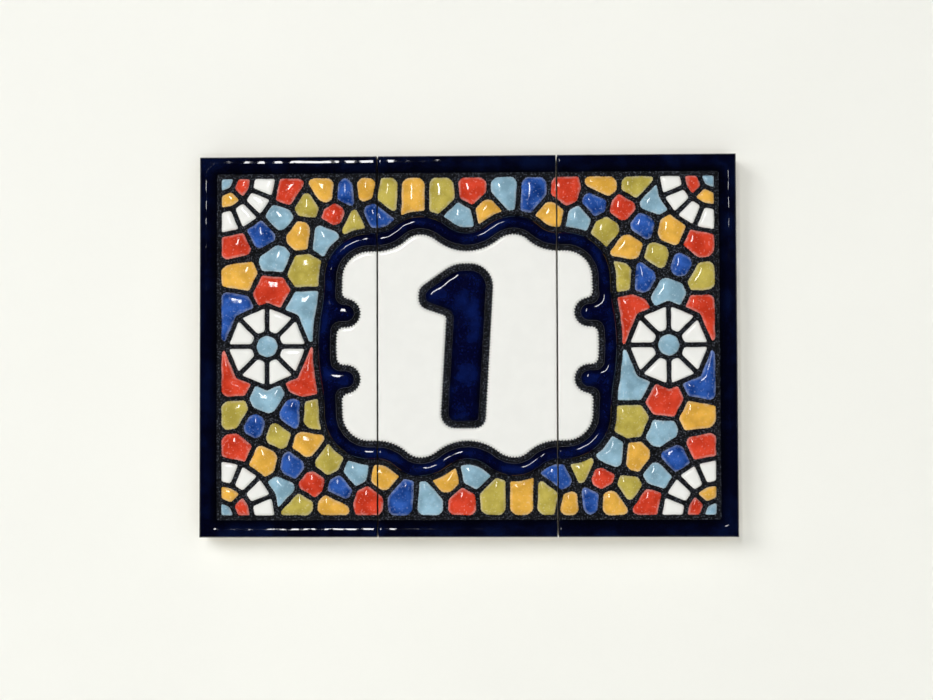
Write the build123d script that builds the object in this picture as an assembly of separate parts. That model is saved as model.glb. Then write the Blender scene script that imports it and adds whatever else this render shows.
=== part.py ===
from build123d import *
import math
import os
import random

# A house number of three glazed relief tiles set side by side: an end tile, a numeral tile, an end tile.
# Each tile is one pressed piece of biscuit ware, and bare grooves in its face part the glazes.
# The face is drawn lying down, with Z towards the viewer, and each finished tile is stood upright.
# Upright frame: X to the right, Z up, the backs on the plane y = 0 and the glazed faces towards -Y.

# Tile format, in millimetres
TILE_W = 35.0
TILE_H = 75.0
BODY_T = 6.0          # from the back to the floor of the grooves
JOINT = 0.3           # gap between two tiles
GROOVE_W = 0.95       # bare line between two glazes
WALL_LEAN = 22.0      # draft of the bead, the moulding and the numeral, in degrees
CROWN_DROP = 0.5      # depth of a bevelled crown, as a share of its width
CROWN_MOST = 0.4      # widest bevel on each side, as a share of the flat top

# Bead along the outer edges of the row
BORDER_W = 3.4
BORDER_RISE = 1.2
BORDER_ROUND = 0.7

# Cartouche moulding, given by the middle of its bead
BAND_W = 2.8
BAND_RISE = 1.3
BAND_ROUND = 0.5
TROUGH_Y = 20.95      # the wave is lowest at the joints and at the middle of a numeral tile
WAVE_RISE = 3.3       # from trough to crest
CREST_SHIFT = 0.4     # how far a crest lies beyond the quarter point of its tile
CORNER_RUN = 1.6      # level stretch of an end tile before its corner
CORNER_BEND = 7.65    # radius of the corner
BULGE = 1.2           # how far the side swells out at mid height
KNOB_R = 1.9
KNOB_REACH = 6.2      # from the joint to the middle of a knob
KNOB_Y = 6.5          # above and below the middle
KNOB_BLEND = 1.5      # where a knob leaves the moulding
PANEL_BLEND = 1.3     # where the panel turns round a knob

# White panel and its numeral
PANEL_RISE = 0.4
NUMERAL_RISE = 0.9
NUMERAL_LINE = 1.2    # bare line round the numeral
NUMERAL_H = 32.4      # sizes of the outline, with the bare line
STEM_W = 8.9
STEM_LEAN = 1.9       # how far the foot lies to the left of the head
FLAG_REACH = 5.45     # from the stem to the tip of the flag
FLAG_DROP = 4.9       # from the head to the top of the flag's blunt end
FLAG_END = 3.6        # height of the blunt end
FLAG_RISE = 1.9       # how far the flag's underside climbs from the stem to the end
FLAG_START = 0.17     # share of the stem's width behind which the flag leaves the head
FLAG_TOP_R = 6.0
FLAG_END_R = 2.1
NOTCH_R = 0.3         # between the flag and the stem
HEAD_R = 4.5
FOOT_RIGHT_R = 2.1
FOOT_LEFT_R = 2.8

# Mosaic field
SHARD_SIZE = 5.4      # usual distance between two shards
SHARD_RISE = 0.7
SHARD_DRAFT = 0.25    # how far a shard's wall leans in
SHARD_NIP = 0.9       # nipped corner, along each edge
SHARD_NIP_MOST = 0.35  # largest share of an edge that a nip takes
SHARD_BLUNT = 80.0    # corners that turn by less stay as they are, in degrees
SHARD_LEAST = 5.0     # smaller offcuts are left out, in square millimetres
WHITE_RISE = 0.55     # white pieces and eyes of the ornaments
LAYOUT_SEED = 4
LAYOUT_ROUNDS = 5     # how often the shards of an end tile are evened out
STRIP_ROUNDS = 1      # the same for a numeral tile
STRIP_PARTS = 6       # shards in a row along a numeral tile
OUTER_ROW = 2.85      # from the edge of the field to the middle of each row
INNER_ROW = 7.55
ROW_JITTER = 0.12     # in shard sizes
JOINT_REACH = 0.6     # shards this near to a joint show on both tiles, in shard sizes
LEAST_SPACING = 0.5   # between the shards of two tiles, in shard sizes
GRID = 5              # points to a shard's width when the layout is evened out

# Ornaments of the end tiles: a fan in each outer corner and a rosette between them
FAN_EYE_R = 3.5       # radii to the middle of the groove round each ring
FAN_RING_R = 6.7
FAN_R = 11.6
FAN_RING_PARTS = 2
FAN_PARTS = 4
ROSETTE_EYE_R = 2.7
ROSETTE_R = 8.2
ROSETTE_PARTS = 8

# Keys in the back for the adhesive
KEY_ROWS = 5
KEY_MARGIN = 5.0
KEY_LAND = 4.0
KEY_DEPTH = 0.6

pitch = TILE_W + JOINT
seam_x = pitch / 2
row_x = seam_x + JOINT / 2 + TILE_W
row_y = TILE_H / 2
field_x = row_x - BORDER_W - GROOVE_W
field_y = row_y - BORDER_W - GROOVE_W
corner_x = seam_x + CORNER_RUN
side_x = corner_x + CORNER_BEND
side_y = TROUGH_Y - CORNER_BEND
knob_x = seam_x + KNOB_REACH
TOUCH = 0.001         # points nearer than this are one point


# Outlines of the face

def s_curve(start, end, heading):
    """Two equal arcs that leave the start and reach the end along the same heading."""
    middle = ((start[0] + end[0]) / 2, (start[1] + end[1]) / 2)
    backwards = (-heading[0], -heading[1])
    return [TangentArc(start, middle, tangent=heading), TangentArc(end, middle, tangent=backwards)]


def cartouche():
    """The area inside the middle line of the moulding."""
    crest = (pitch / 4 + CREST_SHIFT, TROUGH_Y + WAVE_RISE)
    right = (1, 0)
    quarter = s_curve((0, TROUGH_Y), crest, right)
    quarter += s_curve(crest, (seam_x, TROUGH_Y), right)
    quarter.append(Line((seam_x, TROUGH_Y), (corner_x, TROUGH_Y)))
    quarter.append(TangentArc((corner_x, TROUGH_Y), (side_x, side_y), tangent=right))
    quarter += s_curve((side_x, side_y), (side_x + BULGE, 0), (0, -1))
    half = quarter + [mirror(edge, about=Plane.XZ) for edge in quarter]
    return make_face(half + [mirror(edge, about=Plane.YZ) for edge in half])


def window(margin, knob, blend):
    """The opening of the moulding, drawn in by a margin, with four knobs reaching into it."""
    area = offset(heart, -BAND_W / 2 - margin)
    for turn in (0, 180):
        for up in (-1, 1):
            area -= Rot(0, 0, turn) * Pos(knob_x, up * KNOB_Y) * knob
    reach = KNOB_R + margin + TOUCH
    roots = [v for v in area.vertices() if abs(v.X) > knob_x + TOUCH and abs(abs(v.Y) - KNOB_Y) < reach]
    return fillet(roots, blend) if roots else area


def knob_on_neck():
    """A knob with a straight neck that runs out into the moulding."""
    neck = side_x - knob_x
    return Pos(neck / 2, 0) * SlotCenterToCenter(neck, 2 * KNOB_R)


def numeral_outline():
    """The numeral one, with its bare line: a leaning stem with a flag at its head."""
    top = NUMERAL_H / 2
    head_x = (STEM_W + STEM_LEAN) / 2
    foot_x = head_x - STEM_LEAN
    slope = STEM_LEAN / NUMERAL_H
    end_top_y = top - FLAG_DROP
    end_foot_y = end_top_y - FLAG_END
    root_y = end_foot_y - FLAG_RISE
    root_x = head_x - STEM_W - slope * (top - root_y)
    flag_x = root_x - FLAG_REACH
    points = [
        (root_x + FLAG_START * STEM_W, top),
        (head_x, top),
        (foot_x, -top),
        (foot_x - STEM_W, -top),
        (root_x, root_y),
        (flag_x, end_foot_y),
        (flag_x, end_top_y),
    ]
    radii = [FLAG_TOP_R, HEAD_R, FOOT_RIGHT_R, FOOT_LEFT_R, NOTCH_R, FLAG_END_R, FLAG_END_R]
    return make_face(FilletPolyline(*points, radius=radii, close=True))


# Layout of the mosaic

def settle(sites, spots, echo, rounds):
    """Even out the sites: each moves to the middle of the free spots that are nearest to it."""
    for _ in range(rounds):
        crowd = sites + echo(sites)
        herds = [[] for _ in crowd]
        for spot in spots:
            nearest = min(range(len(crowd)), key=lambda i: math.dist(crowd[i], spot))
            herds[nearest].append(spot)
        for i in range(len(sites)):
            if herds[i]:
                sites[i] = tuple(sum(c) / len(herds[i]) for c in zip(*herds[i]))
    return sites


def free_spots(x_range, y_range, taken):
    """A fine grid of points of the field that lie outside the taken areas."""
    step = SHARD_SIZE / GRID
    columns = int((x_range[1] - x_range[0]) / step)
    rows = int((y_range[1] - y_range[0]) / step)
    spots = []
    for i in range(columns):
        for j in range(rows):
            spot = (x_range[0] + (i + 0.5) * step, y_range[0] + (j + 0.5) * step)
            if not any(area.is_inside((*spot, 0)) for area in taken):
                spots.append(spot)
    return spots


def beside(sites):
    """The same sites on the tiles to the left and the right."""
    return [(x + side * pitch, y) for x, y in sites for side in (-1, 1)]


def turned(sites):
    """The sites turned half round, so that the row reads the same upside down."""
    return [(-x, -y) for x, y in sites]


def strip_rows(rng, taken):
    """Two staggered rows along the top of a numeral tile. The inner row lies in the hollows of the wave."""
    step = pitch / STRIP_PARTS
    sites = []
    for i in range(STRIP_PARTS):
        for shift, drop in ((0.25, OUTER_ROW), (0.75, INNER_ROW)):
            x = -seam_x + (i + shift + rng.uniform(-ROW_JITTER, ROW_JITTER)) * step
            y = field_y - drop + rng.uniform(-ROW_JITTER, ROW_JITTER) * SHARD_SIZE
            if not any(area.is_inside((x, y, 0)) for area in taken):
                sites.append((x, y))
    return sites


def mosaic_sites(taken):
    """Middles of the shards. The numeral tile repeats, so that any number of them can stand in a row."""
    rng = random.Random(LAYOUT_SEED)
    spots_each = GRID ** 2

    strip = free_spots((-seam_x, seam_x), (0, field_y), taken)
    strips = strip + beside(strip)
    top = settle(strip_rows(rng, taken), strips, beside, STRIP_ROUNDS)
    numeral = top + turned(top)
    joint_side = [(x - pitch, y) for x, y in numeral if seam_x - x < JOINT_REACH * SHARD_SIZE]

    known = numeral + joint_side
    patch = free_spots((-field_x, -seam_x), (-field_y, field_y), taken)
    patch = [s for s in patch if min(math.dist(s, k) for k in known) > LEAST_SPACING * SHARD_SIZE]
    end = rng.sample(patch, round(len(patch) / spots_each))
    end = settle(end, patch, lambda sites: known, LAYOUT_ROUNDS)
    left = end + joint_side
    return left + numeral + turned(left)


def clipped(polygon, point, normal):
    """The part of a convex polygon on the near side of a line."""
    kept = []
    for a, b in zip(polygon, polygon[1:] + polygon[:1]):
        side_a = (a[0] - point[0]) * normal[0] + (a[1] - point[1]) * normal[1]
        side_b = (b[0] - point[0]) * normal[0] + (b[1] - point[1]) * normal[1]
        if side_a <= 0:
            kept.append(a)
        if side_a * side_b < 0:
            t = side_a / (side_a - side_b)
            kept.append((a[0] + t * (b[0] - a[0]), a[1] + t * (b[1] - a[1])))
    return kept


def inset(polygon, amount):
    """A convex polygon, drawn anticlockwise, with every edge moved in."""
    smaller = polygon
    for a, b in zip(polygon, polygon[1:] + polygon[:1]):
        length = math.dist(a, b)
        normal = ((b[1] - a[1]) / length, (a[0] - b[0]) / length)
        smaller = clipped(smaller, (a[0] - amount * normal[0], a[1] - amount * normal[1]), normal)
    return smaller


def cell(site, sites):
    """What lies nearer to one site than to any other, out to the middle of the grooves."""
    x = field_x + GROOVE_W / 2
    y = field_y + GROOVE_W / 2
    polygon = [(-x, -y), (x, -y), (x, y), (-x, y)]
    for other in sites:
        gap = math.dist(site, other)
        if gap > 0:
            normal = ((other[0] - site[0]) / gap, (other[1] - site[1]) / gap)
            middle = ((site[0] + other[0]) / 2, (site[1] + other[1]) / 2)
            polygon = clipped(polygon, middle, normal)
    return polygon


def nipped(polygon):
    """The polygon without its shortest edges and with its sharper corners cut off."""
    corners = [p for p, q in zip(polygon, polygon[1:] + polygon[:1]) if math.dist(p, q) > SHARD_NIP]
    outline = []
    for before, corner, after in zip(corners[-1:] + corners[:-1], corners, corners[1:] + corners[:1]):
        turn = (Vector(*corner) - Vector(*before)).get_angle(Vector(*after) - Vector(*corner))
        if turn < SHARD_BLUNT:
            outline.append(corner)
            continue
        for neighbour in (before, after):
            t = min(SHARD_NIP / math.dist(corner, neighbour), SHARD_NIP_MOST)
            outline.append((corner[0] + t * (neighbour[0] - corner[0]),
                            corner[1] + t * (neighbour[1] - corner[1])))
    return outline


def around(radius, start, end, steps):
    """Points on a circle, from one angle to another."""
    angles = [math.radians(start + (end - start) * i / steps) for i in range(steps + 1)]
    return [(radius * math.cos(a), radius * math.sin(a)) for a in angles]


def ring_pieces(inner, outer, arc, parts, outer_steps):
    """The pieces of a ring, cut straight, with each outer edge in as many steps as the next ring has."""
    pieces = []
    for i in range(parts):
        start = arc * i / parts
        end = arc * (i + 1) / parts
        pieces.append(around(outer, start, end, outer_steps) + around(inner, end, start, 1))
    return pieces


def rosette_pieces():
    eye = around(ROSETTE_EYE_R, 0, 360, ROSETTE_PARTS)[1:]
    return [eye] + ring_pieces(ROSETTE_EYE_R, ROSETTE_R, 360, ROSETTE_PARTS, 1)


def fan_pieces():
    eye = [(0, 0)] + around(FAN_EYE_R, 0, 90, FAN_RING_PARTS)
    ring = ring_pieces(FAN_EYE_R, FAN_RING_R, 90, FAN_RING_PARTS, FAN_PARTS // FAN_RING_PARTS)
    return [eye] + ring + ring_pieces(FAN_RING_R, FAN_R, 90, FAN_PARTS, 1)


# Raised forms, standing on the floor of the grooves

def leaning(face, rise):
    """A flat form with leaning walls."""
    block = extrude(face, rise)
    return draft(block.faces().filter_by(Axis.Z, reverse=True), Plane.XY, WALL_LEAN)


def bead(face, width, rise, rounding):
    """A bead with leaning walls and a bevelled crown, near to half round."""
    block = leaning(face, rise)
    top = block.faces().sort_by(Axis.Z)[-1]
    flat = width - 2 * rise * math.tan(math.radians(WALL_LEAN))
    bevel = min(rounding, CROWN_MOST * flat)
    return chamfer(top.edges(), bevel, CROWN_DROP * bevel, reference=top)


def piece(polygon, rise):
    """One piece of the mosaic with leaning walls."""
    lean = math.degrees(math.atan2(SHARD_DRAFT, rise))
    return extrude(make_face(Polyline(*polygon, close=True)), rise, taper=lean)


def cut_piece(polygon):
    """A piece of an ornament, cut to shape."""
    return piece(inset(polygon, GROOVE_W / 2), WHITE_RISE)


def broken_piece(polygon):
    """A shard with nipped corners."""
    return piece(nipped(inset(polygon, GROOVE_W / 2)), SHARD_RISE)


def stood_up(tile):
    """A finished tile, turned from lying to upright."""
    return Rot(90, 0, 0) * tile


# Face of the whole row
floor = Pos(0, 0, BODY_T)
heart = cartouche()
clear_of_band = offset(heart, BAND_W / 2 + GROOVE_W)
neck_blend = min(KNOB_BLEND, side_x - knob_x - BAND_W / 2)
band_face = offset(heart, BAND_W / 2) - window(0, knob_on_neck(), neck_blend)
band = bead(band_face, BAND_W, BAND_RISE, BAND_ROUND)

outline = numeral_outline()
numeral = leaning(offset(outline, -NUMERAL_LINE), NUMERAL_RISE)
white = extrude(window(GROOVE_W, Circle(KNOB_R + GROOVE_W), PANEL_BLEND) - outline, PANEL_RISE)

frame_face = Rectangle(2 * row_x, TILE_H) - Rectangle(2 * (row_x - BORDER_W), TILE_H - 2 * BORDER_W)
border = bead(frame_face, BORDER_W, BORDER_RISE, BORDER_ROUND)

rosette_x = -(field_x + side_x + BULGE + BAND_W / 2 + GROOVE_W) / 2
corner_of_field = (field_x + GROOVE_W / 2, field_y + GROOVE_W / 2)
rosette = [Pos(rosette_x, 0) * cut_piece(p) for p in rosette_pieces()]
fan_places = [Pos(-corner_of_field[0], -corner_of_field[1]),
              Pos(-corner_of_field[0], corner_of_field[1]) * Rot(0, 0, -90)]
fans = [place * cut_piece(p) for place in fan_places for p in fan_pieces()]

rosette_area = make_face(Polyline(*around(ROSETTE_R, 0, 360, ROSETTE_PARTS)))
fan_area = make_face(Polyline((0, 0), *around(FAN_R, 0, 90, FAN_PARTS), close=True))
ornament_areas = [Pos(rosette_x, 0) * rosette_area] + [place * fan_area for place in fan_places]
taken = [clear_of_band.face()]
taken += [offset(area, GROOVE_W / 2, kind=Kind.INTERSECTION).face() for area in ornament_areas]
keep_clear = [extrude(area, SHARD_RISE) for area in taken]
sites = mosaic_sites(taken)


def shards_of(x_range):
    """The shards that reach into one tile, cut clear of the moulding and the ornaments."""
    found = []
    for site in sites:
        polygon = cell(site, sites)
        if max(x for x, y in polygon) < x_range[0] or min(x for x, y in polygon) > x_range[1]:
            continue
        cut = broken_piece(polygon) - keep_clear
        found += [s for s in cut.solids() if s.volume > SHARD_LEAST * SHARD_RISE]
    return found


def tile(middle_x, forms):
    """One tile: the body and the raised forms, cut at its edges, with keys in its back."""
    body = extrude(Rectangle(2 * row_x, TILE_H), BODY_T)
    block = Pos(middle_x, 0, BODY_T) * Box(TILE_W, TILE_H, 4 * BODY_T)
    whole = (body + [floor * form for form in forms]) & block
    key_h = (TILE_H - 2 * KEY_MARGIN - (KEY_ROWS - 1) * KEY_LAND) / KEY_ROWS
    key = Box(TILE_W - 2 * KEY_MARGIN, key_h, 2 * KEY_DEPTH)
    keys = [Pos(middle_x, 0) * place * key for place in GridLocations(0, key_h + KEY_LAND, 1, KEY_ROWS)]
    return whole - keys


end_forms = [border, band, white, *rosette, *fans, *shards_of((-row_x, -seam_x))]
left_end_tile = tile(-pitch, end_forms)
numeral_forms = [border, band, white, numeral, *shards_of((-seam_x, seam_x))]
numeral_tile = tile(0, numeral_forms)
right_end_tile = Rot(0, 0, 180) * left_end_tile

os.makedirs("parts", exist_ok=True)
export_step(stood_up(left_end_tile), "parts/left_end_tile.step")
export_step(stood_up(numeral_tile), "parts/numeral_tile.step")
export_step(stood_up(right_end_tile), "parts/right_end_tile.step")
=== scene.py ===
import math
import random

import bpy
import numpy as np
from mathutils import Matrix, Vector, noise
from mathutils.bvhtree import BVHTree
from mathutils.geometry import delaunay_2d_cdt
from mathutils.kdtree import KDTree


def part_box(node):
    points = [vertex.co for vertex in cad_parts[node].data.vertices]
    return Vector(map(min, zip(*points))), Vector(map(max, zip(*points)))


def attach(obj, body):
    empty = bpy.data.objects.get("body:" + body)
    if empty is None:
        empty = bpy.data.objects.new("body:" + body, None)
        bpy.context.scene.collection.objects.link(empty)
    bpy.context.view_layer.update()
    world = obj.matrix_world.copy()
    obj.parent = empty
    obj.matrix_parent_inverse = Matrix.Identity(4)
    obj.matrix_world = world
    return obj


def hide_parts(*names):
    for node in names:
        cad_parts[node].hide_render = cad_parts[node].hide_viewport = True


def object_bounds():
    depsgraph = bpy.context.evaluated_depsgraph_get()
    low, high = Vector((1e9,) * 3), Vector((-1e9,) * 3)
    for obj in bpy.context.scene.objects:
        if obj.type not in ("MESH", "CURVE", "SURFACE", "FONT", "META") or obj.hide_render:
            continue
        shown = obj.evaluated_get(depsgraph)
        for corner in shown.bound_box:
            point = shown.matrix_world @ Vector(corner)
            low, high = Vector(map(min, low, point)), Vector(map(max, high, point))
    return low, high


# Looks of a house number of three glazed relief tiles.
# The CAD gives the outline and the height of every form on the face.
# Here each form gets the soft, poured shape of its glaze, and the bare lines stay on the floor between them.
# Lengths are in millimetres until a mesh is made. The stage, the lamps and the camera are in metres.

MM = 0.001

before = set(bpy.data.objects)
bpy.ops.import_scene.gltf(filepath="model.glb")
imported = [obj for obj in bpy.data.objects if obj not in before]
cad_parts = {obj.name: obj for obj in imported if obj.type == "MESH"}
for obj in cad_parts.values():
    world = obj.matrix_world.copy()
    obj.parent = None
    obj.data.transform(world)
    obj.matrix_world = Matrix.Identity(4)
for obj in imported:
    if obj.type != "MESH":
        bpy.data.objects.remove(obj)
cad_low, cad_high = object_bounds()
row_low = np.array(cad_low) / MM
row_high = np.array(cad_high) / MM

TOUCH = 0.002          # points nearer than this are one point
FACING = 0.05          # how much a triangle turns to the front to belong to the face
BACK_DEPTH = 1.0       # what lies this near to the back plane is copied as it is

# How fine the mesh is
STEP = 0.2             # along outlines
DENSE = 0.05           # along outlines, when distances are measured
ROWS = (0.07, 0.2)     # rows of points beside an outline
ROW_LEAST = 0.8        # share of its row's distance that a point keeps from every other outline
GRID = 0.3             # inside a form
GRID_START = 1.4 * ROWS[1]  # from an outline to the grid
FLAT_GRID = 0.7        # inside a flat form
FLAT_START = 2 * FLAT_GRID  # from an outline to the wider grid
JOIN = TOUCH / 20      # points of the new mesh that are nearer than this are one point

# The kinds of form, each with its height above the floor, the width of its rounded edge, how peaked that
# edge is (0.5 is an ellipse), rounds of easing that melt its ridges, the slow waver of its outline, the fine
# teeth left on it by the screen, and the depth and length of the swell of its top
KINDS = {
    "panel": dict(rise=0.4, roll=0.45, peak=0.5, ease=0, waver=0.0, teeth=0.18,
                  swell=0.02, swell_length=5.0),
    "inlay": dict(rise=0.55, roll=0.7, peak=0.5, ease=2, waver=0.06, teeth=0.03,
                  swell=0.03, swell_length=2.5),
    "shard": dict(rise=0.7, roll=2.2, peak=0.5, ease=8, waver=0.12, teeth=0.05,
                  swell=0.05, swell_length=1.8),
    "numeral": dict(rise=0.9, roll=1.2, peak=0.5, ease=3, waver=0.0, teeth=0.10,
                    swell=0.12, swell_length=2.2),
    "border": dict(rise=1.2, roll=2.9, peak=1.0, ease=0, waver=0.0, teeth=0.06,
                   swell=0.12, swell_length=2.4),
    "band": dict(rise=1.3, roll=1.5, peak=0.5, ease=2, waver=0.0, teeth=0.06,
                 swell=0.14, swell_length=2.0),
}
TOOTH_PITCH = 0.6
WAVER_LENGTH = 1.7
SOFTEN = 5             # rounds of smoothing along an outline
SEAM_ROLL = 0.4        # rounding where a form is cut at a joint
SEAM_DROP = 0.22
RIM_ROLL = 1.4         # rounding of the frame along the outer edge of the row
RIM_PEAK = 0.5
CORNER_BLEND = 0.7     # how softly the frame turns its outer corners

# Colours, as they read in even light
WHITE = (243, 243, 239)
RED = (222, 62, 36)
AMBER = (243, 183, 72)
OLIVE = (196, 178, 78)
ROYAL = (24, 74, 172)
SKY = (150, 192, 214)
NAVY = (2, 4, 37)
NAVY_HEART = (7, 23, 78)
NAVY_GRAIN = (18, 32, 92)
CHARCOAL = (15, 17, 23)
SAND = (98, 103, 114)
BISCUIT = (226, 216, 200)
PAPER = (250, 250, 244)
SHARD_COLOURS = ["red", "sky", "amber", "royal", "olive"]
COLOUR_SEED = 4
NEAR = 1.9             # forms whose outlines are this near are neighbours
NEAR_STEP = 3          # every third point of an outline is enough to find them
SAME_PLACE = 0.7       # places nearer than this match
FAN_EYE = 9.0          # the parts of a corner fan, by the distance of their middles from the corner
FAN_RING = 13.0

# Glaze that runs over the outer edges of the front, and painted shade along the front of the cut sides, in
# the joints
RAGGED_END = 2.6             # how unevenly it ends
RAGGED_END_FADE = 0.1        # half the width of its end
BARE_ROUGHNESS = 0.85

# Shares of the baked picture: the front, the back beside it and a narrow column for each wall
BAKE_MARGIN = 0.005
BAKE_SCALE = 0.99
FRONT_START = 0.005
BACK_START = 0.475
WALL_START = 0.945
WALL_COLUMN = 0.0135
WALL_SCALE = 0.1

# Stage: a pale wall with an opening hidden behind the tiles, and a pale floor
WALL_GAP = 0.0001      # from the backs of the tiles to the wall
WALL_SIZE = 1.6
OPENING_MARGIN = 0.0008  # how far the wall reaches behind the row
JOINT_STRIP = 0.0006   # width of the wall behind a joint
FLOOR_Z = -0.30
FLOOR_PALE = 0.8       # share of the floor that is pale to the camera in any light

# Lamps, as areas that face the tiles. One that isn't shiny leaves no reflection in the glaze
LAMPS = {
    "window": dict(place=(-0.125, -0.755, 0.262), width=0.06, height=0.27, power=1.25, shiny=True),
    "left_fill": dict(place=(-0.55, -0.75, 0.36), width=0.50, height=0.50, power=4.4, shiny=False),
    "right_fill": dict(place=(0.55, -0.75, 0.15), width=0.60, height=0.60, power=1.5, shiny=False),
    "low_fill": dict(place=(0.15, -0.80, -0.20), width=0.40, height=0.12, power=1.1, shiny=False),
    "behind": dict(place=(-0.3, 0.9, 0.6), width=1.0, height=1.0, power=14.0, shiny=True),
}
DIM = 0.015            # strength of the light from all round

# Camera, fitted to the outer corners and the joints in the photograph, with its turn in degrees
CAMERA_AT = (0.00786, -0.300, -0.01004)
CAMERA_TURN = (91.79, 0.199, 1.567)
CAMERA_LENS = 57.85


# Reading the CAD

def welded(node):
    """The corners of a CAD node, each once, with its triangles and their normals."""
    mesh = node.data
    mesh.calc_loop_triangles()
    corners = np.zeros(len(mesh.vertices) * 3)
    mesh.vertices.foreach_get("co", corners)
    points, which = np.unique(np.round(corners.reshape(-1, 3) / MM, 3), axis=0, return_inverse=True)
    triangles = np.zeros(len(mesh.loop_triangles) * 3, int)
    mesh.loop_triangles.foreach_get("vertices", triangles)
    triangles = which.reshape(-1)[triangles].reshape(-1, 3)
    a, b, c = (points[triangles[:, i]] for i in range(3))
    normals = np.cross(b - a, c - a)
    sizes = np.linalg.norm(normals, axis=1)
    good = sizes > 0
    return points, triangles[good], normals[good] / sizes[good][:, None]


def connected(triangles, count):
    """A number for each corner that is the same for corners joined by triangles."""
    label = np.arange(count)
    while True:
        lowest = label[triangles].min(axis=1)
        joined = label.copy()
        np.minimum.at(joined, triangles, lowest[:, None])
        if (joined == label).all():
            return label
        label = joined


def loops_of(triangles):
    """Closed loops of the edges that only one triangle has, with the inside on their left."""
    edges = {(int(t[i]), int(t[i - 2])) for t in triangles for i in range(3)}
    follow = {}
    for a, b in sorted(edges):
        if (b, a) not in edges:
            follow.setdefault(a, []).append(b)
    loops = []
    for start in sorted(follow):
        while follow[start]:
            loop = [start]
            here = follow[start].pop()
            while here != start:
                loop.append(here)
                here = follow[here].pop()
            loops.append(loop)
    return loops


def runs_of(loop, cuts):
    """A closed loop of points as stretches along the cut sides of a tile and stretches elsewhere."""
    count = len(loop)
    along = [any(abs(loop[i][0] - c) < TOUCH and abs(loop[(i + 1) % count][0] - c) < TOUCH for c in cuts)
             for i in range(count)]
    turns = [i for i in range(count) if along[i] != along[i - 1]]
    if not turns:
        return [(along[0], np.array(loop + loop[:1]))]
    runs = []
    for first, last in zip(turns, turns[1:] + [turns[0] + count]):
        points = [loop[i % count] for i in range(first, last + 1)]
        runs.append((along[first], np.array(points)))
    return runs


# Outlines

def resampled(points, step):
    """Points at even distances along a run."""
    lengths = np.concatenate([[0], np.cumsum(np.linalg.norm(np.diff(points, axis=0), axis=1))])
    places = np.linspace(0, lengths[-1], max(1, round(lengths[-1] / step)) + 1)
    return np.stack([np.interp(places, lengths, points[:, k]) for k in range(2)], axis=1)


def is_closed(points):
    return np.linalg.norm(points[0] - points[-1]) < TOUCH


def left_of(points):
    """Unit normals of a run, towards its left."""
    along = np.gradient(points, axis=0)
    if is_closed(points):
        along[0] = along[-1] = points[1] - points[-2]
    sizes = np.linalg.norm(along, axis=1, keepdims=True)
    return np.stack([-along[:, 1], along[:, 0]], axis=1) / np.maximum(sizes, 1e-9)


def softened(points):
    """A run with its corners rounded. The ends of an open run stay."""
    for _ in range(SOFTEN):
        if is_closed(points):
            ring = points[:-1]
            ring = (np.roll(ring, 1, axis=0) + 2 * ring + np.roll(ring, -1, axis=0)) / 4
            points = np.concatenate([ring, ring[:1]])
        else:
            points[1:-1] = (points[:-2] + 2 * points[1:-1] + points[2:]) / 4
    return points


def hand_made(points, kind):
    """A run as a potter leaves it: soft corners, a slow waver and the fine teeth of the screen."""
    points = softened(resampled(points, STEP))
    count = len(points)
    teeth = max(1, round(count * STEP / TOOTH_PITCH))
    phase = 2 * math.pi * teeth * np.arange(count) / (count - 1)
    waver = np.array([noise.noise(Vector((x / WAVER_LENGTH, 0, z / WAVER_LENGTH))) for x, z in points])
    move = kind["waver"] * waver + kind["teeth"] * np.sin(phase)
    if is_closed(points):
        move[-1] = move[0]
    else:
        to_end = np.minimum(np.arange(count), np.arange(count)[::-1]) * STEP
        move *= np.minimum(1, to_end / TOOTH_PITCH)
    return points + left_of(points) * move[:, None]


# The face of one tile

class Face:
    """The forms on the face of one tile, read from its CAD node."""

    def __init__(self, name):
        self.name = name
        self.points, self.triangles, normals = welded(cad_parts[name])
        front = normals[:, 1] < -FACING
        self.floor_y = self.points[self.triangles[front]][:, :, 1].max()
        depth = np.abs(self.points[self.triangles][:, :, 1] - self.floor_y).max(axis=1)
        self.low = self.points.min(axis=0)
        self.high = self.points.max(axis=0)
        ends = (row_low[0], row_high[0])
        self.cuts = [x for x in (self.low[0], self.high[0]) if min(abs(x - e) for e in ends) > TOUCH]
        label = connected(self.triangles[front & (depth > TOUCH)], len(self.points))
        self.form_of_triangle = np.where(front & (depth > TOUCH), label[self.triangles[:, 0]], -1)
        self.floor = self.triangles[front & (depth <= TOUCH)]
        self.forms = {}
        for form in sorted(set(self.form_of_triangle) - {-1}):
            self.forms[form] = self.read_form(self.triangles[self.form_of_triangle == form])
        self.tree = BVHTree.FromPolygons(self.points.tolist(), self.triangles.tolist())

    def read_form(self, triangles):
        """The kind of a form and the runs of its outline."""
        rise = self.floor_y - self.points[triangles][:, :, 1].min()
        kind = min(KINDS, key=lambda k: abs(KINDS[k]["rise"] - rise))
        runs = {"edge": [], "rim": [], "cut": []}
        for loop in loops_of(triangles):
            for along_cut, run in runs_of(self.points[loop][:, [0, 2]].tolist(), self.cuts):
                on_rim = np.abs(run[:, 1]).max() > row_high[2] - TOUCH
                if along_cut:
                    runs["cut"].append(resampled(run, STEP))
                elif on_rim:
                    runs["rim"].append(resampled(run, STEP))
                else:
                    runs["edge"].append(hand_made(run, KINDS[kind]))
        middle = np.mean(np.concatenate(runs["edge"]), axis=0)
        return dict(kind=kind, middle=middle, **runs)

    def form_at(self, x, z):
        """Which form lies at a place of the face, or -1 for the floor."""
        hit = self.tree.ray_cast((x, 2 * self.low[1], z), (0, 1, 0))
        return -1 if hit[2] is None else int(self.form_of_triangle[hit[2]])


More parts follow.
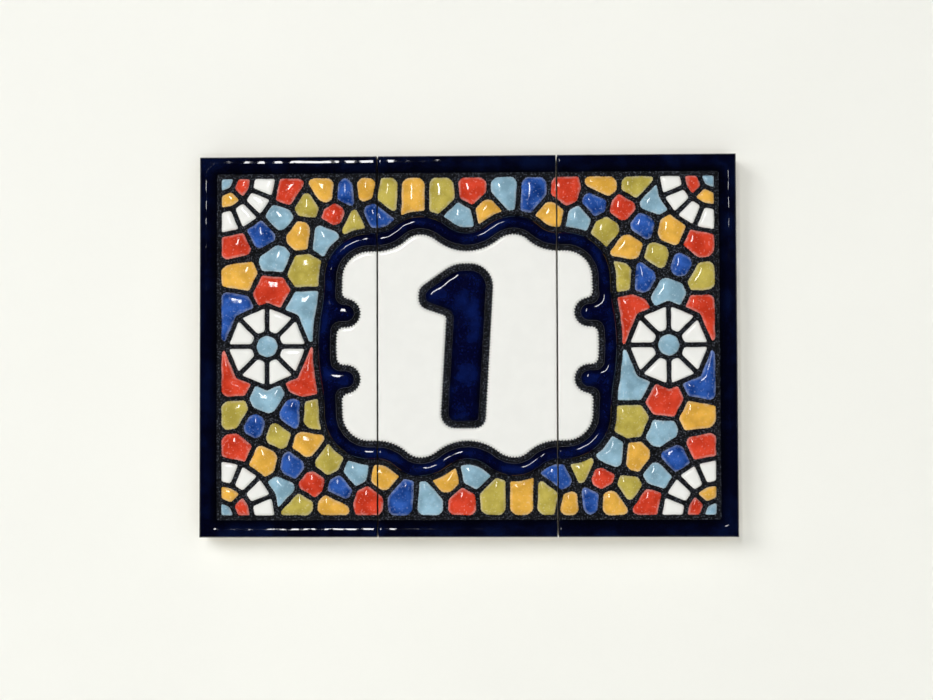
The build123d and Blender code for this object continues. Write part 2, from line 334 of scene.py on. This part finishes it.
def nearest_in(runs):
    """A search tree of the points along some runs."""
    dense = np.concatenate([resampled(run, DENSE) for run in runs])
    tree = KDTree(len(dense))
    for i, (x, z) in enumerate(dense):
        tree.insert((x, z, 0), i)
    tree.balance()
    return tree


def face_points(face, edges):
    """Runs that part the face, and the points that lie between them."""
    runs = []
    inner = []
    for form in face.forms.values():
        for run in form["edge"] + form["rim"] + form["cut"]:
            runs.append(run)
            left = left_of(run)
            for row in ROWS:
                inner += [p for p in run + row * left if edges.find((*p, 0))[2] > ROW_LEAST * row]
    for loop in loops_of(face.floor):
        for along_cut, run in runs_of(face.points[loop][:, [0, 2]].tolist(), face.cuts):
            if along_cut:
                runs.append(resampled(run, STEP))
    inner += grid_points(face, edges)
    margin = ROWS[0] / 2
    inner = [p for p in inner if all(abs(p[0] - c) > margin for c in face.cuts)]
    inner = [p for p in inner if face.low[0] + margin < p[0] < face.high[0] - margin]
    return runs, inner


def grid_points(face, edges):
    """An even grid inside the forms, wider where a form is flat."""
    found = []
    for kind_flat, pitch in ((False, GRID), (True, FLAT_GRID)):
        row_pitch = pitch * math.sqrt(3) / 2
        rows = int((face.high[2] - face.low[2]) / row_pitch)
        columns = int((face.high[0] - face.low[0]) / pitch)
        for j in range(rows):
            z = face.low[2] + (j + 0.5) * row_pitch
            for i in range(columns):
                x = face.low[0] + (i + 0.25 + 0.5 * (j % 2)) * pitch
                form = face.form_at(x, z)
                if form < 0:
                    continue
                away = min(edges.find((x, z, 0))[2], from_rim(x, z))
                flat = face.forms[form]["kind"] == "panel" and away > FLAT_START
                if flat == kind_flat and away > GRID_START:
                    found.append((x, z))
    return found


def parted(runs, inner):
    """A mesh of triangles that keeps every run as an edge, with a region number for each triangle."""
    corners = []
    wires = []
    for run in runs:
        first = len(corners)
        corners += [Vector(p) for p in run]
        wires += [(first + i, first + i + 1) for i in range(len(run) - 1)]
    corners += [Vector(p) for p in inner]
    spots, edges, triangles, _, sources, _ = delaunay_2d_cdt(corners, wires, [], 0, JOIN)
    walls = {tuple(sorted(e)) for e, source in zip(edges, sources) if source}
    beside = {}
    for i, t in enumerate(triangles):
        for k in range(3):
            beside.setdefault(tuple(sorted((t[k], t[k - 1]))), []).append(i)
    region = [-1] * len(triangles)
    count = 0
    for seed in range(len(triangles)):
        if region[seed] >= 0:
            continue
        region[seed] = count
        waiting = [seed]
        while waiting:
            t = triangles[waiting.pop()]
            for k in range(3):
                edge = tuple(sorted((t[k], t[k - 1])))
                if edge in walls:
                    continue
                for other in beside[edge]:
                    if region[other] < 0:
                        region[other] = count
                        waiting.append(other)
        count += 1
    return np.array(spots), np.array(triangles), np.array(region)


def form_of_regions(face, spots, triangles, region):
    """The form that each region belongs to, by the area that it shares with the CAD."""
    a, b, c = (spots[triangles[:, i]] for i in range(3))
    area = np.abs(np.cross(b - a, c - a)) / 2
    middle = (a + b + c) / 3
    votes = [{} for _ in range(region.max() + 1)]
    for (x, z), size, number in zip(middle, area, region):
        form = face.form_at(x, z)
        votes[number][form] = votes[number].get(form, 0) + size
    return np.array([max(v, key=v.get) for v in votes])


def from_rim(x, z):
    """The distance to the outer edge of the row."""
    return min(row_high[0] - abs(x), row_high[2] - abs(z))


def rounded(rise, roll, peak, away):
    """The height of a rounded edge at some distance from its foot."""
    bend = 1 - min(1, max(0, away) / roll)
    return rise * (1 - bend ** 2) ** peak


def poured(face, edges, spots, form_of_spot):
    """The height of the glaze at every spot, and how far the spot lies from the edge of its form."""
    height = np.zeros(len(spots))
    away = np.zeros(len(spots))
    for i in np.nonzero(form_of_spot >= 0)[0]:
        x, z = spots[i]
        kind = KINDS[face.forms[form_of_spot[i]]["kind"]]
        away[i] = edges.find((x, z, 0))[2]
        swell = (1 + noise.noise(Vector((x, 0, z)) / kind["swell_length"])) / 2
        rise = kind["rise"] - kind["swell"] * swell
        height[i] = rounded(rise, kind["roll"], kind["peak"], away[i])
        if kind is KINDS["border"]:
            level = rounded(rise, RIM_ROLL, RIM_PEAK, row_high[2] - abs(z))
            upright = rounded(rise, RIM_ROLL, RIM_PEAK, row_high[0] - abs(x))
            near = max(0, 1 - abs(level - upright) / CORNER_BLEND)
            turned = min(level, upright) - CORNER_BLEND / 4 * near ** 2
            height[i] = max(0, min(height[i], turned))
        to_cut = min(abs(x - c) for c in face.cuts)
        if to_cut < SEAM_ROLL:
            dip = SEAM_DROP * (1 - math.sqrt(1 - (1 - to_cut / SEAM_ROLL) ** 2))
            height[i] = max(0, height[i] - dip)
    return height, away


def eased(height, triangles, rounds):
    """Heights drawn towards the mean of their neighbours, as many rounds as each spot has."""
    one, other = np.concatenate([triangles[:, [0, 1]], triangles[:, [1, 2]], triangles[:, [2, 0]]]).T
    count = np.maximum(1, np.bincount(one, minlength=len(height)))
    for done in range(rounds.max()):
        mean = np.bincount(one, weights=height[other], minlength=len(height)) / count
        height = np.where(rounds > done, (height + mean) / 2, height)
    return height


faces = [Face(name) for name in sorted(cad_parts, key=lambda n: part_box(n)[0].x)]


# Colours of the forms

def shard_groups(faces):
    """Shards that are one across a joint, or that match when the row is turned half round, share a group."""
    shards = [(f, n) for f, face in enumerate(faces) for n, form in face.forms.items()
              if form["kind"] == "shard"]
    group = {s: s for s in shards}

    def top(s):
        while group[s] != s:
            s = group[s]
        return s

    def cut_middles(s):
        return [run.mean(axis=0) for run in faces[s[0]].forms[s[1]]["cut"]]

    for i, one in enumerate(shards):
        for other in shards[i + 1:]:
            turned = faces[one[0]].forms[one[1]]["middle"] + faces[other[0]].forms[other[1]]["middle"]
            meets = one[0] != other[0] and any(np.abs(a - b).max() < SAME_PLACE
                                               for a in cut_middles(one) for b in cut_middles(other))
            if meets or np.abs(turned).max() < SAME_PLACE:
                group[top(one)] = top(other)
    return {s: top(s) for s in shards}


def shard_colours(faces):
    """A colour for every shard, unlike those beside it."""
    group = shard_groups(faces)
    trees = {s: nearest_in(faces[s[0]].forms[s[1]]["edge"]) for s in group}
    beside = {g: set() for g in group.values()}
    for one in group:
        for other in group:
            if one[0] != other[0] or group[one] == group[other]:
                continue
            outline = np.concatenate(faces[other[0]].forms[other[1]]["edge"])
            if min(trees[one].find((*p, 0))[2] for p in outline[::NEAR_STEP]) < NEAR:
                beside[group[one]].add(group[other])
                beside[group[other]].add(group[one])
    rng = random.Random(COLOUR_SEED)
    colour = {}
    used = {c: 0 for c in SHARD_COLOURS}
    for g in sorted(beside, key=lambda g: -len(beside[g])):
        clash = [colour[n] for n in beside[g] if n in colour]
        colour[g] = min(SHARD_COLOURS, key=lambda c: (clash.count(c), used[c] + rng.random()))
        used[colour[g]] += 1
    return {s: colour[g] for s, g in group.items()}


def inlay_colour(form):
    """Ornaments: white rays with a light eye, and a warm ring in the corner fans."""
    x, z = form["middle"]
    across = row_high[0] - abs(x)
    down = row_high[2] - abs(z)
    if abs(z) < SAME_PLACE or math.hypot(across, down) < FAN_EYE:
        return "sky"
    if math.hypot(across, down) < FAN_RING:
        return "red" if across > down else "amber"
    return "white"


# Materials

def srgb(colour):
    """A colour from 0 to 255 as linear light."""
    parts = [c / 255 for c in colour]
    linear = [c / 12.92 if c <= 0.04045 else ((c + 0.055) / 1.055) ** 2.4 for c in parts]
    return (*linear, 1)


def shade(colour, amount):
    """A lighter colour for amounts above 0 and a darker one below."""
    goal = 255 if amount > 0 else 0
    return tuple(c + (goal - c) * abs(amount) for c in colour)


class Nodes:
    """A small helper to lay out a material's nodes."""

    def __init__(self, name):
        self.material = bpy.data.materials.new(name)
        self.material.use_nodes = True
        self.tree = self.material.node_tree
        self.shader = self.tree.nodes["Principled BSDF"]
        place = self.add("ShaderNodeNewGeometry").outputs["Position"]
        scaled = self.add("ShaderNodeVectorMath", Vector=place, Scale=1 / MM, operation="SCALE")
        self.place = scaled.outputs["Vector"]

    def add(self, kind, operation=None, **inputs):
        node = self.tree.nodes.new(kind)
        if operation:
            node.operation = operation
        for name, value in inputs.items():
            self.put(node, name.replace("_", " "), value)
        return node

    def put(self, node, name, value):
        if isinstance(value, bpy.types.NodeSocket):
            self.tree.links.new(value, node.inputs[name])
        else:
            node.inputs[name].default_value = value

    def noise(self, scale, detail=2.0, low=0.4, high=0.6):
        """Clouds from 0 to 1, with a number of clouds to a millimetre."""
        cloud = self.add("ShaderNodeTexNoise", Vector=self.place, Scale=scale, Detail=detail)
        return self.ramp(cloud.outputs["Fac"], low, high)

    def ramp(self, value, low, high, start=0.0, end=1.0):
        node = self.add("ShaderNodeMapRange", Value=value)
        node.inputs["From Min"].default_value = low
        node.inputs["From Max"].default_value = high
        node.inputs["To Min"].default_value = start
        node.inputs["To Max"].default_value = end
        return node.outputs["Result"]

    def times(self, a, b):
        node = self.add("ShaderNodeMath", operation="MULTIPLY")
        self.put(node, 0, a)
        self.put(node, 1, b)
        return node.outputs["Value"]

    def mix(self, fac, a, b):
        node = self.add("ShaderNodeMix")
        node.data_type = "RGBA"
        for index, value in ((0, fac), (6, a), (7, b)):
            self.put(node, index, value)
        return node.outputs[2]

    def mix_shaders(self, fac, a, b):
        node = self.add("ShaderNodeMixShader")
        for index, value in enumerate((fac, a, b)):
            self.put(node, index, value)
        return node.outputs["Shader"]

    def dots(self, apart, radius):
        """Round dots of a radius, some millimetres apart, on the plane of the face."""
        parts = self.add("ShaderNodeSeparateXYZ", Vector=self.place).outputs
        flat = self.add("ShaderNodeCombineXYZ", X=parts["X"], Y=parts["Z"]).outputs["Vector"]
        cells = self.add("ShaderNodeTexVoronoi", Vector=flat, Scale=1 / apart)
        return self.ramp(cells.outputs["Distance"], 0.6 * radius / apart, radius / apart, 1.0, 0.0)

    def edge(self, width):
        """1 at the edge of a form, falling to 0 at some millimetres from it."""
        away = self.add("ShaderNodeAttribute")
        away.attribute_name = "away"
        return self.ramp(away.outputs["Fac"], 0.0, width, 1.0, 0.0)

    def finish(self, colour, roughness, bump=None, strength=0.1, distance=0.1):
        self.put(self.shader, "Base Color", colour)
        self.put(self.shader, "Roughness", roughness)
        if bump is not None:
            node = self.add("ShaderNodeBump", Height=bump, Strength=strength, Distance=distance * MM)
            self.put(self.shader, "Normal", node.outputs["Normal"])
        return self.material


def glaze(name, colour, mottle, rim=0.0, flecks=0.0, pinholes=0.0):
    """A glossy poured glaze: clouded, lighter where it thins at its rim, with dark pinholes on the white, and
    light flecks on the colours that are partly speckle in the glaze and partly painted highlight.
    """
    n = Nodes(name)
    clouds = n.noise(scale=0.35, detail=3, low=0.36, high=0.64)
    body = n.mix(clouds, srgb(shade(colour, -mottle)), srgb(shade(colour, 0.4 * mottle)))
    thin = n.times(n.edge(width=0.5), n.noise(scale=0.9, detail=2, low=0.35, high=0.6))
    body = n.mix(n.times(thin, rim), body, srgb(shade(colour, 0.7)))
    # partly painted highlight: light flecks that are speckle in the glaze and also stand in for tiny glints
    # on it
    fleck = n.noise(scale=2.4, detail=1, low=0.62, high=0.72)
    body = n.mix(n.times(fleck, flecks), body, srgb(shade(colour, 0.6)))
    holes = n.dots(apart=7.0, radius=0.13)
    body = n.mix(n.times(holes, pinholes), body, srgb(shade(colour, -0.7)))
    ripple = n.noise(scale=0.35, detail=1, low=0.2, high=0.8)
    return n.finish(body, roughness=0.07, bump=ripple, strength=0.12, distance=0.15)


def navy_glaze(name, painted_shade, roughness):
    """Dark glossy glaze with a bluer heart and a faint grain. Painted shade darkens it to black at the edge
    of each form, and by a given amount all over.
    """
    n = Nodes(name)
    clouds = n.noise(scale=0.22, detail=4, low=0.45, high=0.65)
    # painted shade: the glaze made darker all over by the given amount (none for the band and the numeral)
    body = n.mix(clouds, srgb(shade(NAVY, painted_shade)), srgb(shade(NAVY_HEART, painted_shade)))
    grain = n.noise(scale=2.6, detail=2, low=0.55, high=0.7)
    body = n.mix(n.times(grain, 0.4), body, srgb(shade(NAVY_GRAIN, painted_shade)))
    # painted shade: black at the edge of each form, fading out 1.5 mm in, on its sloping flanks
    body = n.mix(n.times(n.edge(width=1.5), 0.9), body, srgb(shade(NAVY, -0.85)))
    ripple = n.noise(scale=0.3, detail=1, low=0.2, high=0.8)
    return n.finish(body, roughness, bump=ripple, strength=0.1, distance=0.15)


def bare_line():
    """Matte charcoal line with a sandy grain."""
    n = Nodes("bare_line")
    clouds = n.noise(scale=1.6, detail=3, low=0.35, high=0.65)
    body = n.mix(clouds, srgb(shade(CHARCOAL, -0.7)), srgb(CHARCOAL))
    grain = n.noise(scale=3.7, detail=1, low=0.58, high=0.66)
    body = n.mix(n.times(grain, 0.65), body, srgb(SAND))
    n.put(n.shader, "Specular IOR Level", 0.2)
    rough = n.noise(scale=3.0, detail=2, low=0.3, high=0.7)
    return n.finish(body, roughness=0.62, bump=rough, strength=0.8, distance=0.12)


def biscuit(name, overrun_and_joint_shade, gloss, reach):
    """Unglazed body. A band of another colour runs along its edge, to about some millimetres from the front:
    glaze that has run over, on the outer edges, and painted shade, on the cut sides in the joints.
    """
    n = Nodes(name)
    clouds = n.noise(scale=0.3, detail=4, low=0.3, high=0.7)
    body = n.mix(clouds, srgb(shade(BISCUIT, -0.12)), srgb(BISCUIT))
    specks = n.noise(scale=2.5, detail=2, low=0.6, high=0.68)
    body = n.mix(n.times(specks, 0.5), body, srgb(shade(BISCUIT, -0.35)))
    depth = n.add("ShaderNodeSeparateXYZ", Vector=n.place).outputs["Y"]
    ragged_end = n.add("ShaderNodeTexNoise", Vector=n.place, Scale=0.35, Detail=2.0).outputs["Fac"]
    line = n.add("ShaderNodeMath", operation="MULTIPLY_ADD")
    for index, value in enumerate((ragged_end, RAGGED_END, depth)):
        n.put(line, index, value)
    end = RAGGED_END / 2 + faces[0].floor_y + reach
    overrun_and_shade_mask = n.ramp(line.outputs["Value"], end - RAGGED_END_FADE, end + RAGGED_END_FADE, 1.0, 0.0)
    # the band: navy glaze that has run over on the outer edges, painted shade on the cut sides
    body = n.mix(overrun_and_shade_mask, body, srgb(overrun_and_joint_shade))
    rough = n.ramp(overrun_and_shade_mask, 0.0, 1.0, BARE_ROUGHNESS, gloss)
    pores = n.noise(scale=1.6, detail=3, low=0.2, high=0.8)
    return n.finish(body, rough, bump=pores, strength=0.35, distance=0.1)


MATERIALS = {
    "line": bare_line(),
    "white": glaze("white_glaze", WHITE, mottle=0.008, pinholes=0.6),
    "red": glaze("red_glaze", RED, mottle=0.14, rim=0.5, flecks=0.35),
    "amber": glaze("amber_glaze", AMBER, mottle=0.12, rim=0.5, flecks=0.3),
    "olive": glaze("olive_glaze", OLIVE, mottle=0.14, rim=0.5, flecks=0.3),
    "royal": glaze("royal_glaze", ROYAL, mottle=0.3, rim=0.45, flecks=0.3),
    "sky": glaze("sky_glaze", SKY, mottle=0.16, rim=0.5, flecks=0.35),
    "navy": navy_glaze("navy_glaze", painted_shade=0.0, roughness=0.06),
    # painted shade: the frame has the same navy glaze as the band and the numeral, made darker all over
    "frame": navy_glaze("frame_glaze", painted_shade=-0.45, roughness=0.06),
    "figure": navy_glaze("numeral_glaze", painted_shade=0.0, roughness=0.07),
    # painted shade: a charcoal band along the front of the cut sides darkens the joints between the tiles
    "side": biscuit("bare_side", overrun_and_joint_shade=shade(CHARCOAL, -0.5), gloss=0.8, reach=1.2),
    "rim": biscuit("glazed_rim", overrun_and_joint_shade=NAVY, gloss=0.12, reach=1.3),
}
MATERIAL_NUMBER = {name: i for i, name in enumerate(MATERIALS)}


# Building the tiles

def face_mesh(face, colours):
    """The front of a tile: spots, triangles, their materials and the distance to the edge of each form."""
    edges = nearest_in([run for form in face.forms.values() for run in form["edge"]])
    runs, inner = face_points(face, edges)
    spots, triangles, region = parted(runs, inner)
    form_of_triangle = form_of_regions(face, spots, triangles, region)[region]
    lowest = np.full(len(spots), len(face.points))
    highest = np.full(len(spots), -1)
    np.minimum.at(lowest, triangles, form_of_triangle[:, None])
    np.maximum.at(highest, triangles, form_of_triangle[:, None])
    form_of_spot = np.where(lowest == highest, lowest, -1)
    height, away = poured(face, edges, spots, form_of_spot)
    ease = {n: KINDS[form["kind"]]["ease"] for n, form in face.forms.items()}
    height = eased(height, triangles, np.array([ease.get(n, 0) for n in form_of_spot]))
    corners = np.stack([spots[:, 0], face.floor_y - height, spots[:, 1]], axis=1)
    materials = np.array([MATERIAL_NUMBER[colours.get(form, "line")] for form in form_of_triangle])
    return corners, triangles, materials, away


def back_of(face):
    """The back of a tile as the CAD has it: its points and triangles."""
    on_back = face.points[face.triangles][:, :, 1].min(axis=1) > -BACK_DEPTH
    used, triangles = np.unique(face.triangles[on_back], return_inverse=True)
    return face.points[used], triangles.reshape(-1, 3)


def side_walls(face, front, triangles, back):
    """A wall on each side of the tile, from the edge of the front to two corners of the back."""
    rim = loops_of(triangles)[0]
    at_side = [np.minimum(np.abs(front[rim, k] - face.low[k]), np.abs(front[rim, k] - face.high[k])) < TOUCH
               for k in (0, 2)]
    turns = np.nonzero(at_side[0] & at_side[1])[0]
    walls = []
    for first, last in zip(turns, np.roll(turns, -1)):
        chain = np.roll(rim, -first)[:(last - first) % len(rim) + 1]
        feet = [np.abs(back - front[c] * (1, 0, 1)).sum(axis=1).argmin() for c in chain[[0, -1]]]
        walls.append([int(i) for i in chain[::-1]] + [int(i) + len(front) for i in feet])
    return walls


def bake_places(face, points, start, width, across, up):
    """Places on the baked picture of points that are seen along two axes."""
    share = (points - face.low) / (face.high[2] - face.low[2])
    return np.stack([start + width * share[:, across], BAKE_MARGIN + BAKE_SCALE * share[:, up]], axis=1)


def tile_object(face, colours):
    """One finished tile, as an object that stands for its CAD node."""
    front, triangles, materials, away = face_mesh(face, colours)
    back, back_triangles = back_of(face)
    back_triangles = back_triangles + len(front)
    walls = side_walls(face, front, triangles, back)
    points = np.concatenate([front, back])
    numbers = list(materials)
    places = [bake_places(face, points[triangles.reshape(-1)], FRONT_START, BAKE_SCALE, 0, 2)]
    for i, wall in enumerate(walls):
        x = points[wall][:, 0]
        cut = any(np.abs(x - c).max() < TOUCH for c in face.cuts)
        numbers.append(MATERIAL_NUMBER["side" if cut else "rim"])
        start = WALL_START + i * WALL_COLUMN
        along = 2 if np.ptp(x) < TOUCH else 0
        places.append(bake_places(face, points[wall], start, WALL_SCALE, 1, along))
    numbers += [MATERIAL_NUMBER["side"]] * len(back_triangles)
    places.append(bake_places(face, points[back_triangles.reshape(-1)], BACK_START, BAKE_SCALE, 0, 2))

    mesh = bpy.data.meshes.new(face.name + "_glazed")
    mesh.from_pydata((points * MM).tolist(), [], triangles.tolist() + walls + back_triangles.tolist())
    for material in MATERIALS.values():
        mesh.materials.append(material)
    mesh.polygons.foreach_set("material_index", np.array(numbers, np.int32))
    mesh.polygons.foreach_set("use_smooth", np.arange(len(numbers)) < len(triangles))
    on_rim = {tuple(sorted(pair)) for wall in walls for pair in zip(wall[:-3], wall[1:-2])}
    mesh.edges.foreach_set("use_edge_sharp", [tuple(sorted(edge.vertices)) in on_rim for edge in mesh.edges])
    edge = mesh.attributes.new("away", "FLOAT", "POINT")
    edge.data.foreach_set("value", np.concatenate([away, np.zeros(len(back))]))
    mesh.uv_layers.new(name="OFBake").data.foreach_set("uv", np.concatenate(places).reshape(-1))
    mesh.update()
    tile = bpy.data.objects.new(face.name + "_glazed", mesh)
    bpy.context.scene.collection.objects.link(tile)
    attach(tile, "root")
    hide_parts(face.name)


def colours_of(faces):
    """The material of every form, tile by tile."""
    shards = shard_colours(faces)
    plain = {"panel": "white", "numeral": "figure", "border": "frame", "band": "navy"}
    table = []
    for f, face in enumerate(faces):
        row = {}
        for n, form in face.forms.items():
            if form["kind"] == "shard":
                row[n] = shards[(f, n)]
            elif form["kind"] == "inlay":
                row[n] = inlay_colour(form)
            else:
                row[n] = plain[form["kind"]]
        table.append(row)
    return table


for face, colours in zip(faces, colours_of(faces)):
    tile_object(face, colours)


# The stage

def paper(name, pale):
    """Plain paper that is seen only from its front. A share of it is pale to the camera in any light."""
    n = Nodes(name)
    body = n.mix(n.noise(0.01, 2, 0.3, 0.7), srgb(shade(PAPER, -0.015)), srgb(PAPER))
    n.finish(body, 0.9)
    seen = n.times(n.add("ShaderNodeLightPath").outputs["Is Camera Ray"], pale)
    even = n.add("ShaderNodeEmission", Color=srgb(PAPER)).outputs["Emission"]
    front = n.mix_shaders(seen, n.shader.outputs["BSDF"], even)
    behind = n.add("ShaderNodeNewGeometry").outputs["Backfacing"]
    clear = n.add("ShaderNodeBsdfTransparent").outputs["BSDF"]
    n.put(n.tree.nodes["Material Output"], "Surface", n.mix_shaders(behind, front, clear))
    return n.material


def stage_mesh(name, corners, polygons, pale):
    mesh = bpy.data.meshes.new(name)
    mesh.from_pydata(corners, [], polygons)
    mesh.materials.append(paper(name + "_paper", pale))
    stage = bpy.data.objects.new(name, mesh)
    bpy.context.scene.collection.objects.link(stage)
    return stage


def wall():
    """A wall in four strips round its opening, with a narrow strip behind each joint."""
    x = cad_high[0] - OPENING_MARGIN
    z = cad_high[2] - OPENING_MARGIN
    far = WALL_SIZE / 2
    outer = [(-far, -far), (far, -far), (far, far), (-far, far)]
    inner = [(-x, -z), (x, -z), (x, z), (-x, z)]
    corners = [(px, WALL_GAP, pz) for px, pz in outer + inner]
    strips = [(i, (i + 1) % 4, 4 + (i + 1) % 4, 4 + i) for i in range(4)]
    for face, other in zip(faces, faces[1:]):
        joint = (face.high[0] + other.low[0]) / 2 * MM
        first = len(corners)
        strips.append(tuple(range(first, first + 4)))
        for px, pz in ((-1, -z), (1, -z), (1, z), (-1, z)):
            corners.append((joint + px * JOINT_STRIP / 2, WALL_GAP, pz))
    stage_mesh("wall", corners, strips, pale=0.0)


def floor():
    far = WALL_SIZE / 2
    edges = [(-far, -WALL_SIZE), (far, -WALL_SIZE), (far, WALL_SIZE), (-far, WALL_SIZE)]
    corners = [(x, y, FLOOR_Z) for x, y in edges]
    ground = stage_mesh("floor", corners, [(0, 1, 2, 3)], pale=FLOOR_PALE)
    ground.visible_glossy = False


def lamp(name, place, width, height, power, shiny):
    """A soft lamp that faces the tiles."""
    data = bpy.data.lights.new(name, "AREA")
    data.shape = "RECTANGLE"
    data.size = width
    data.size_y = height
    data.energy = power
    light = bpy.data.objects.new(name, data)
    light.location = place
    light.visible_glossy = shiny
    light.rotation_euler = (-Vector(place)).to_track_quat("-Z", "Y").to_euler()
    bpy.context.scene.collection.objects.link(light)


def surroundings():
    """Dim light from all round, and a pale ground where the camera looks past everything."""
    world = bpy.data.worlds.new("studio")
    bpy.context.scene.world = world
    world.use_nodes = True
    tree = world.node_tree
    dim = tree.nodes["Background"]
    dim.inputs["Color"].default_value = (1, 1, 1, 1)
    dim.inputs["Strength"].default_value = DIM
    pale = tree.nodes.new("ShaderNodeBackground")
    pale.inputs["Color"].default_value = srgb(PAPER)
    seen = tree.nodes.new("ShaderNodeLightPath").outputs["Is Camera Ray"]
    choice = tree.nodes.new("ShaderNodeMixShader")
    tree.links.new(seen, choice.inputs[0])
    tree.links.new(dim.outputs[0], choice.inputs[1])
    tree.links.new(pale.outputs[0], choice.inputs[2])
    tree.links.new(choice.outputs[0], tree.nodes["World Output"].inputs["Surface"])


def camera():
    data = bpy.data.cameras.new("camera")
    data.lens = CAMERA_LENS
    eye = bpy.data.objects.new("camera", data)
    eye.location = CAMERA_AT
    eye.rotation_euler = [math.radians(a) for a in CAMERA_TURN]
    bpy.context.scene.collection.objects.link(eye)
    bpy.context.scene.camera = eye


wall()
floor()
surroundings()
for name, settings in LAMPS.items():
    lamp(name, **settings)
camera()

bpy.context.scene.view_settings.view_transform = "Standard"
